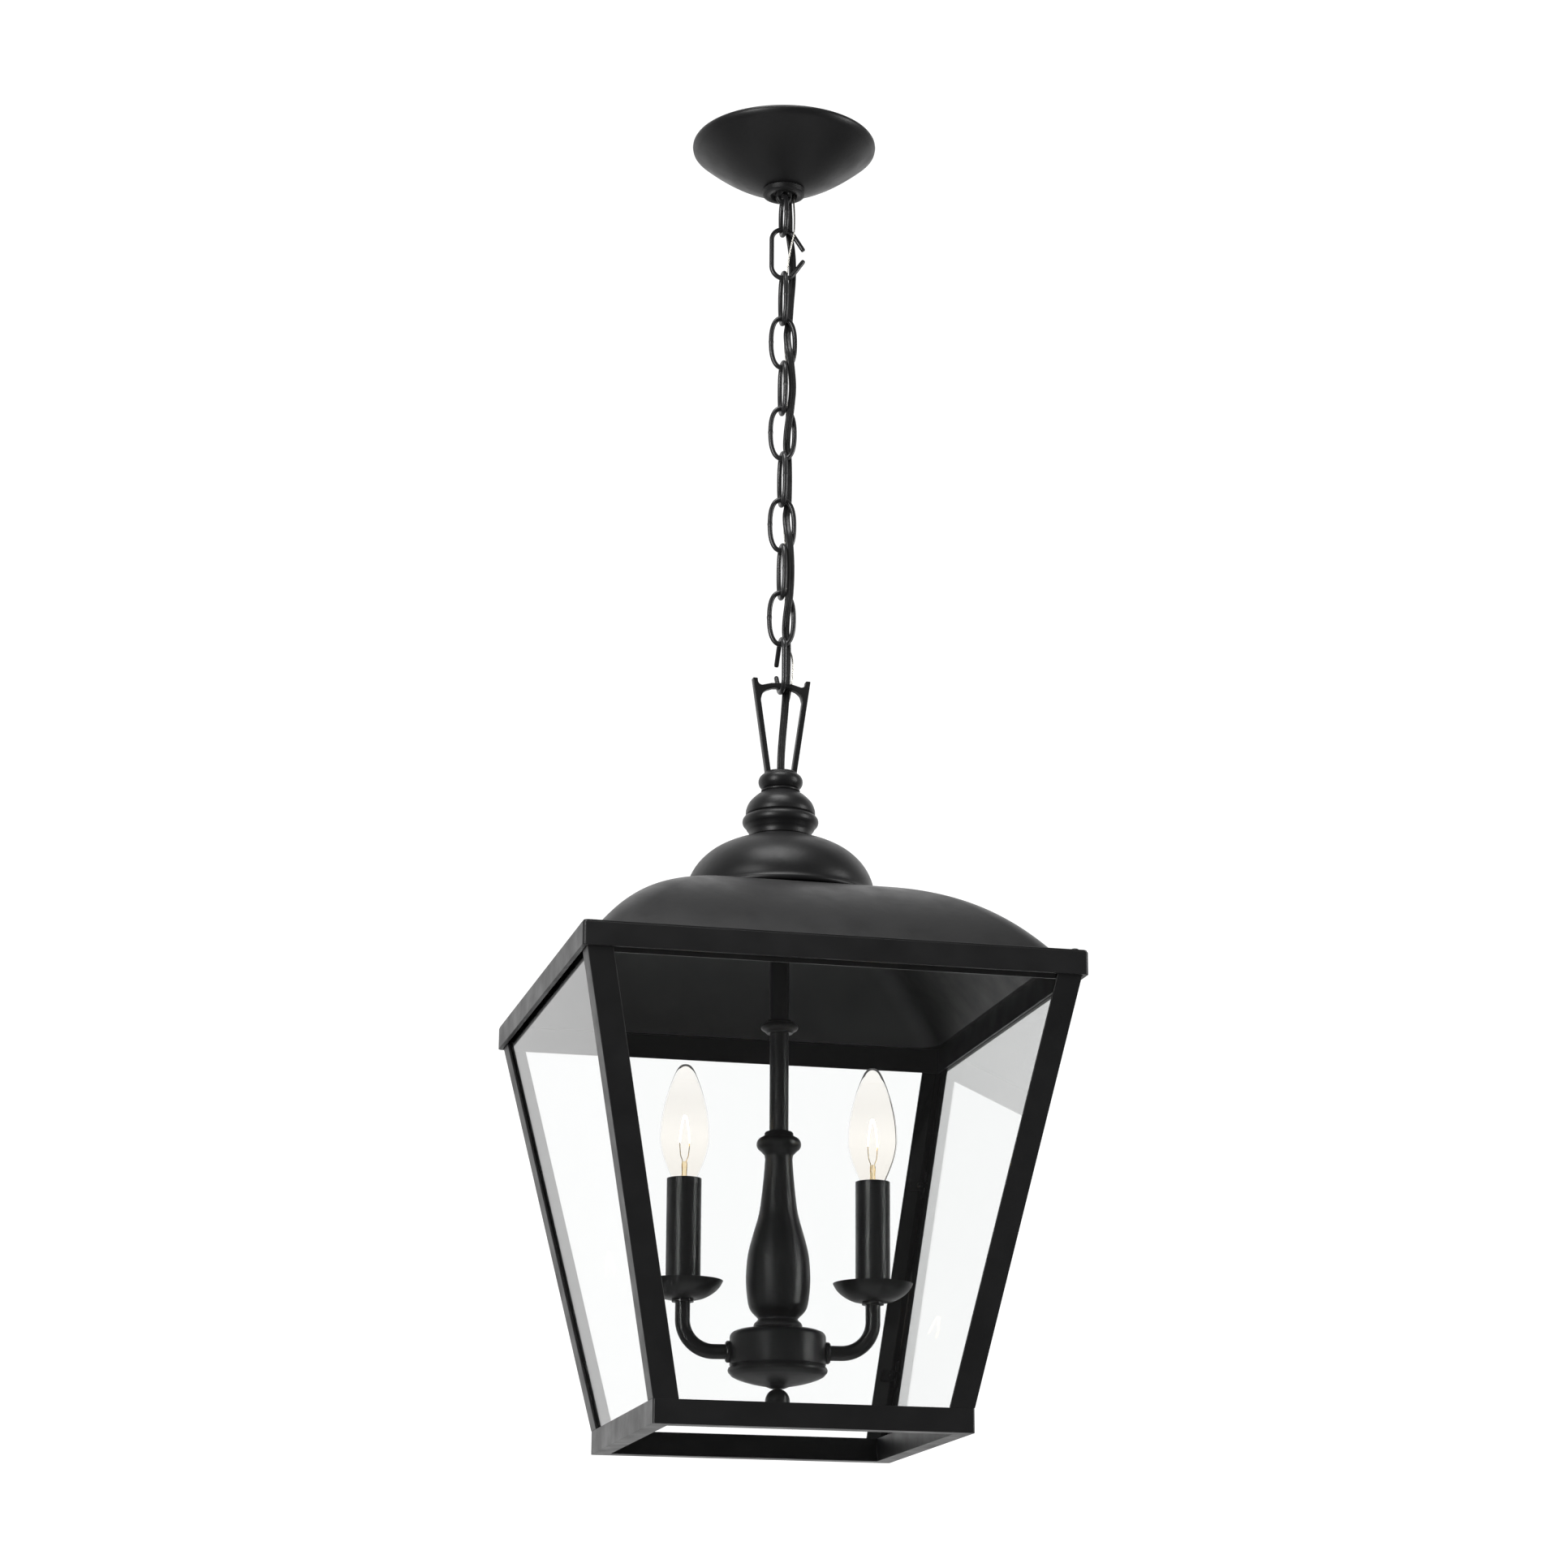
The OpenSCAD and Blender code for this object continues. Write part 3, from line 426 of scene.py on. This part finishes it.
FINISHES = {"black_metal": BLACK, "black_casting": CAST, "zinc": ZINC, "brass": BRASS,
            "lead_skin": LEAD_SKIN, "pane_glass": PANE, "socket_plastic": PHENOLIC,
            "bulb_glass": BULB, "filament": BRASS}
for name, slot in SLOT_OF.items():
    paint(NODES[name], FINISHES[slot])


# ---------------------------------------------------------------- finished pieces
def finish(piece, node, material=None, hides=True):
    """Rides the body of the node it stands for and takes that node's finish."""
    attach(piece, BODY_OF[node])
    if hides:
        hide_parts(node)
    return paint(piece, material or FINISHES[SLOT_OF[node]])


WELD = 3e-6
FLAT_ANGLE, EDGE_ANGLE = math.radians(0.5), math.radians(30)


def refined(node, bevel=0.0):
    """A CAD node with its edges rounded by bevel millimetres and its curves shaded smooth."""
    bm = bmesh.new()
    bm.from_mesh(NODES[node].data)
    bmesh.ops.remove_doubles(bm, verts=bm.verts, dist=WELD)
    if bevel:
        bmesh.ops.dissolve_limit(bm, angle_limit=FLAT_ANGLE, verts=bm.verts, edges=bm.edges)
        edges = [e for e in bm.edges
                 if len(e.link_faces) == 2 and e.calc_face_angle(0) > EDGE_ANGLE]
        bmesh.ops.bevel(bm, geom=edges, offset=bevel * MM, segments=2, profile=0.5,
                        affect="EDGES", clamp_overlap=True)
    me = bpy.data.meshes.new(node + "_finished")
    bm.to_mesh(me)
    bm.free()
    me.materials.clear()
    me.polygons.foreach_set("use_smooth", [True] * len(me.polygons))
    me.set_sharp_from_angle(angle=math.radians(50 if bevel else 30))
    ob = bpy.data.objects.new(node + "_finished", me)
    SCENE.collection.objects.link(ob)
    if bevel:
        even = ob.modifiers.new("even", "WEIGHTED_NORMAL")
        even.keep_sharp = True
    return finish(ob, node)


# Bars and stampings, with the radius of their edges
for node, bevel in (("top_band", 0.55), ("bottom_frame", 0.55), ("top_rail", 0.3),
                    ("leg_front_left", 0.4), ("leg_front_right", 0.4), ("leg_back_left", 0.4),
                    ("leg_back_right", 0.4), ("stirrup", 0.55), ("glass_clips", 0.16),
                    ("mounting_strap", 0.25), ("strap_nuts", 0.25)):
    refined(node, bevel)
# Turnings and tubes
for node in ("canopy", "collar_loop", "finial_collar", "cap_turning", "cap_dome", "stem_tube",
             "stem_ring", "vase_column", "cluster_body", "cluster_cap", "ball_finial", "arm_left",
             "arm_right", "arm_nuts", "bobeche_left", "bobeche_right", "bobeche_washers",
             "sleeve_left", "sleeve_right", "roof_screws", "clip_screws", "bulb_base_left",
             "bulb_base_right"):
    refined(node)


# Roof: one pressed sheet, square in plan with soft corners
def round_square(u, r, z, n=14):
    """A square of half width u with corners of radius r, at the height z in the lantern."""
    out = []
    for q in range(4):
        for i in range(n + 1):
            a = math.radians(90 * i / n)
            x, y = u - r + r * math.cos(a), u - r + r * math.sin(a)
            c, s = (1, 0, -1, 0)[q], (0, 1, 0, -1)[q]
            out.append(Vector(((x * c - y * s) * MM, (x * s + y * c) * MM, z * MM + DROP)))
    return out


ROOF_HALF, ROOF_RISE, ROOF_T, ROOF_HOLE, ROOF_CORNER = 147.5, 61, 1.2, 6.6, 18
ROOF_POWER, ROOF_WALL = 3.26, 1.6
FLANGE_HALF, FLANGE_CORNER, FLANGE_EDGE = 158.25, 2.5, 0.4


def dome(half, foot, steps=64):
    """Rings from the flange up to the hole in the middle."""
    rings = []
    for i in range(1, steps + 1):
        u = max(half * math.cos(math.radians(90 * i / steps)), ROOF_HOLE)
        rise = foot + ROOF_RISE * (1 - (u / half) ** ROOF_POWER)
        rings.append(round_square(u, min(ROOF_CORNER, u), rise))
    return rings


inner_half = ROOF_HALF - ROOF_WALL
flange = [round_square(FLANGE_HALF, FLANGE_CORNER, 0),
          round_square(FLANGE_HALF, FLANGE_CORNER, ROOF_T * 0.7),
          round_square(FLANGE_HALF - FLANGE_EDGE, FLANGE_CORNER, ROOF_T),
          round_square(ROOF_HALF + 0.8, ROOF_CORNER, ROOF_T),
          round_square(ROOF_HALF, ROOF_CORNER, ROOF_T + 0.3)]
under = dome(inner_half, 0)[::-1] + [round_square(inner_half, ROOF_CORNER, 0)]
roof = add("roof_pressed", *grid(flange + dome(ROOF_HALF, ROOF_T) + under, loop=True), sharp=40)
finish(roof, "roof_shell")

# Ring under the canopy: diamond knurling between two plain edges
ring_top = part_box("collar_ring")[1][2] / MM
RING_POINTS, KNURLS, KNURL_PITCH, KNURL_DEPTH = 240, 40, 1.4, 0.3
KNURL_TOP, KNURL_LONG, KNURL_R = -0.6, 2.8, 14.7
upper = [(12.3, 0), (13.9, 0), (14.3, -0.15), (14.55, -0.45)]
lower = [(14.55, -3.6), (14.3, -3.9), (13.6, -4.2), (12.9, -4.35), (12.3, -4.4)]
knurled = [(KNURL_R, KNURL_TOP - KNURL_LONG * i / 14) for i in range(15)]
ring_rings = []
for r, z in upper + knurled + lower:
    ring = []
    for j in range(RING_POINTS):
        a = 2 * math.pi * j / RING_POINTS
        rise = 2 * math.pi * (z - KNURL_TOP) / KNURL_PITCH
        groove = max(math.cos(KNURLS * a + rise), math.cos(KNURLS * a - rise))
        depth = KNURL_DEPTH * max(0, groove) ** 4 if r == KNURL_R else 0
        ring.append(Vector(((r - depth) * math.cos(a) * MM, (r - depth) * math.sin(a) * MM,
                            (z + ring_top) * MM)))
    ring_rings.append(ring[::-1])
finish(add("canopy_ring_knurled", *grid(ring_rings, loop=True), sharp=60), "collar_ring")


# Chain: drawn wire, butt-welded at the middle of one side
WIRE_R, HALF_W = 1.65, 8.35
BEAD, BEAD_LONG = 0.2, 0.7
OPEN_LINKS, OPEN_TURN, OPEN_REACH = (2, 11), 34, 13.2


def wire_loop(path, closed, bead=None, sides=16):
    """Rings of round wire along a path in the XZ plane, with a weld bead at one place."""
    n = len(path)
    rings = []
    for i, (x, z) in enumerate(path):
        if closed:
            a, b = path[(i - 1) % n], path[(i + 1) % n]
        else:
            a, b = path[max(i - 1, 0)], path[min(i + 1, n - 1)]
        d = Vector((b[0] - a[0], b[1] - a[1])).normalized()
        r = WIRE_R
        if bead is not None and (x - bead[0]) ** 2 < 4:
            r += BEAD * math.exp(-(((z - bead[1]) / BEAD_LONG) ** 2))
        if not closed and i in (0, n - 1):
            r -= 0.3
        rings.append([Vector((x - d[1] * r * math.cos(t), r * math.sin(t),
                              z + d[0] * r * math.cos(t)))
                      for t in (2 * math.pi * (j + 0.5) / sides for j in range(sides))])
    return rings


def place_link(name, rings, loop, node, turn):
    """Turns the rings about Z, centres them on their CAD node and adds them in its place."""
    lo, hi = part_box(node)
    centre = Vector((0, 0, (lo[2] + hi[2]) / 2))
    spin = Matrix.Rotation(math.radians(turn), 3, "Z")
    rings = [[spin @ (v * MM) + centre for v in ring] for ring in rings]
    return finish(add(name, *grid(rings, loop=loop), sharp=50), node, WIRE_BLACK)


def oval(long, power=2.45, n=120):
    """The middle line of a closed link, of an outside length, as a superellipse."""
    half = (long - 2 * WIRE_R) / 2
    out = []
    for i in range(n):
        a = 2 * math.pi * i / n
        c, s = math.cos(a), math.sin(a)
        out.append((HALF_W * math.copysign(abs(c) ** (2 / power), c),
                    half * math.copysign(abs(s) ** (2 / power), s)))
    return out


def even_spaced(path, step, closed):
    """The same path with its points about one step apart."""
    pts = [Vector(q) for q in path] + ([Vector(path[0])] if closed else [])
    total = sum((b - a).length for a, b in zip(pts, pts[1:]))
    count = int(total / step)
    out, at, i, seg = [], 0.0, 0, (pts[1] - pts[0]).length
    for k in range(count if closed else count + 1):
        want = total * k / count
        while i < len(pts) - 2 and at + seg < want:
            at += seg
            i += 1
            seg = (pts[i + 1] - pts[i]).length
        q = pts[i].lerp(pts[i + 1], min(1, (want - at) / seg))
        out.append((q.x, q.y))
    return out


def sprung_open(long):
    """The middle line of a link whose ends are bent apart on the right."""
    rise = (long - 2 * WIRE_R) / 2 - HALF_W
    turn = math.radians(OPEN_TURN)
    tip = (HALF_W * math.cos(turn) + OPEN_REACH * math.sin(turn),
           rise + HALF_W * math.sin(turn) - OPEN_REACH * math.cos(turn))
    path = ([tip] + arc(0, rise, HALF_W, OPEN_TURN, 180, 30)
            + arc(0, -rise, HALF_W, 180, 360 - OPEN_TURN, 30) + [(tip[0], -tip[1])])
    return even_spaced([tuple(q) for q in path], 1.0, False)


for k in range(1, LINKS + 1):
    node = "link_%02d" % k
    lo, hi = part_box(node)
    long = (hi[2] - lo[2]) / MM
    turn = 90 if k % 2 else 0
    if k in OPEN_LINKS:
        rings = wire_loop(sprung_open(long), False)
        place_link("link_open_%02d" % k, rings, False, node, turn)
    else:
        rings = wire_loop(even_spaced(oval(long), 0.8, True), True, bead=(-HALF_W, 0))
        place_link("link_oval_%02d" % k, rings, True, node, turn)


# Bulbs: blown envelope, glass stem and a hairpin filament on two posts. Outlines are radius
# and height in the lantern, routes are x, y, z about the candle.
BULB_R, BULB_WALL, BULB_FOOT = 15.66, 0.7, -133.95
TIP_WALL, TIP_FROM = 1.1, -60
BULB_OUTSIDE = [[0, -49], [2.2, -49.4], [4.2, -50.9], [6.1, -54], [8.4, -59.6], [10.9, -66.6],
                [13.2, -75], [15, -85], [BULB_R, -94.5], [15.4, -101], [13.6, -109], [11, -116],
                [8.3, -122.4], [6.9, -127], [6.2, -131], [6.05, -133.9]]
GLASS_MOUNT = [[0, -133.9], [4.4, -133.9], [4.1, -131], [2.4, -126], [1.7, -120], [1.9, -115],
               [1.5, -112.6], [0, -112]]
POST = [[1.1, 0, -126], [1.2, 0, -113], [2.6, 0, -108], [3.2, 0, -100]]
HAIRPIN = [[-3.2, 0, -100.2], [-2.4, 0, -92], [-1.1, 0, -84.5], [0, 0, -82.5],
           [1.1, 0, -84.5], [2.4, 0, -92], [3.2, 0, -100.2]]
POST_R, COIL_R, COIL_WIRE_R, COIL_TURN = 0.28, 0.42, 0.16, 1.1


def tube_along(points, r, sides=10):
    """Round wire along points in metres."""
    rings = []
    for i, q in enumerate(points):
        d = (points[min(i + 1, len(points) - 1)] - points[max(i - 1, 0)]).normalized()
        side = d.cross(Vector((0.3, 1, 0.2))).normalized()
        other = d.cross(side)
        rings.append([q + (side * math.cos(t) + other * math.sin(t)) * r
                      for t in (2 * math.pi * j / sides for j in range(sides))])
    return grid(rings)


def at_candle(part, centre):
    """A part about the lantern's axis, moved to a candle."""
    return [v + Vector((centre[0], centre[1], DROP)) for v in part[0]], part[1]


for side in ("left", "right"):
    lo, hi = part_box("bulb_" + side)
    centre = ((lo[0] + hi[0]) / 2, (lo[1] + hi[1]) / 2)
    scale_r = (hi[0] - lo[0]) / 2 / MM / BULB_R
    outer = [[max(r, 0) * scale_r, z] for r, z in smooth_line(BULB_OUTSIDE, 8)]
    outer[0][0] = 0
    inner = [[max(r - BULB_WALL, 0), z - (TIP_WALL if z > TIP_FROM else 0)] for r, z in outer]
    shell = [q for q in inner[::-1] if q[0] > 0] + [[0, inner[0][1]]]
    profile = outer + [[outer[-1][0], BULB_FOOT], [inner[-1][0], BULB_FOOT]] + shell
    finish(add("bulb_envelope_" + side, *at_candle(lathe(profile, 72), centre), sharp=50),
           "bulb_" + side)
    mount = smooth_line(GLASS_MOUNT, 5)
    mount[0][0] = mount[-1][0] = 0
    finish(add("bulb_stem_" + side, *at_candle(lathe(mount, 40), centre)), "filament_" + side,
           STEM_GLASS)
    posts = [tube_along([Vector((s * x, y, z)) * MM for x, y, z in smooth_line(POST, 6)],
                        POST_R * MM) for s in (-1, 1)]
    finish(add("bulb_posts_" + side, *at_candle(joined(*posts), centre)), "filament_" + side,
           BRASS, False)
    coil = [Vector((x, 0, z)) * MM
            + Vector((math.cos(i * COIL_TURN), math.sin(i * COIL_TURN), 0)) * COIL_R * MM
            for i, (x, y, z) in enumerate(smooth_line(HAIRPIN, 60))]
    wire = tube_along(coil, COIL_WIRE_R * MM, 6)
    finish(add("bulb_filament_" + side, *at_candle(wire, centre)), "filament_" + side, GLOW, False)


# ---------------------------------------------------------------- studio
FLOOR_Z, FLOOR_HALF = -3.2, 2.0
floor = add("floor", [(x * FLOOR_HALF, y * FLOOR_HALF, FLOOR_Z)
                      for x, y in ((-1, -1), (1, -1), (1, 1), (-1, 1))],
            [(0, 1, 2, 3)], smooth=False)
m, tree, p = new_material("floor_paper")
p.inputs["Roughness"].default_value = 0.9
tree.links.new(mottled(tree, 3, 2, (0.7, 0.7, 0.7), (0.74, 0.74, 0.74)), p.inputs["Base Color"])
paint(floor, m)


def calculate(tree, operation, a, b):
    """A math node on two values, each a socket or a number."""
    n = tree.nodes.new("ShaderNodeMath")
    n.operation = operation
    for socket, value in zip(n.inputs, (a, b)):
        if isinstance(value, (int, float)):
            socket.default_value = value
        else:
            tree.links.new(value, socket)
    return n.outputs["Value"]


# The surroundings are plain white to the eye, and through glass. What lights or mirrors in the
# lantern is darker in front of it and below it.
SEEN_WHITE = 1.13
world = bpy.data.worlds.new("studio")
SCENE.world = world
world.use_nodes = True
wt = world.node_tree
background = wt.nodes["Background"]
where = wt.nodes.new("ShaderNodeTexCoord")
split = wt.nodes.new("ShaderNodeSeparateXYZ")
wt.links.new(where.outputs["Generated"], split.inputs["Vector"])
behind = map_range(wt, split.outputs["Y"], 0.0, 0.75, 0.1, 0.95, smooth=True)
above = map_range(wt, split.outputs["Z"], -0.7, 0.0, 0.3, 1.0)
around = calculate(wt, "MULTIPLY", behind, above)
rays = wt.nodes.new("ShaderNodeLightPath")
bounces = calculate(wt, "ADD", rays.outputs["Diffuse Depth"], rays.outputs["Glossy Depth"])
pick = wt.nodes.new("ShaderNodeMix")
wt.links.new(calculate(wt, "LESS_THAN", bounces, 0.5), pick.inputs["Factor"])
wt.links.new(around, pick.inputs["A"])
pick.inputs["B"].default_value = SEEN_WHITE
wt.links.new(pick.outputs["Result"], background.inputs["Strength"])
background.inputs["Color"].default_value = (1, 1, 1, 1)


def area(name, at, to, size, power):
    """A softbox at one place, aimed at another. Size in metres, power in watts."""
    data = bpy.data.lights.new(name, "AREA")
    data.shape = "RECTANGLE"
    data.size, data.size_y = size
    data.energy = power
    ob = bpy.data.objects.new(name, data)
    SCENE.collection.objects.link(ob)
    ob.location = at
    ob.rotation_mode = "QUATERNION"
    ob.rotation_quaternion = (Vector(to) - Vector(at)).to_track_quat("-Z", "Y")


area("softbox_left", (-2.2, -2.0, -0.3), (0, 0, -0.6), (0.6, 2.4), 56)
area("softbox_right", (2.7, -1.2, -0.3), (0, 0, -0.6), (0.6, 2.2), 34)
area("softbox_top", (-0.4, -0.9, 2.2), (0, 0, -0.4), (1.8, 1.2), 45)
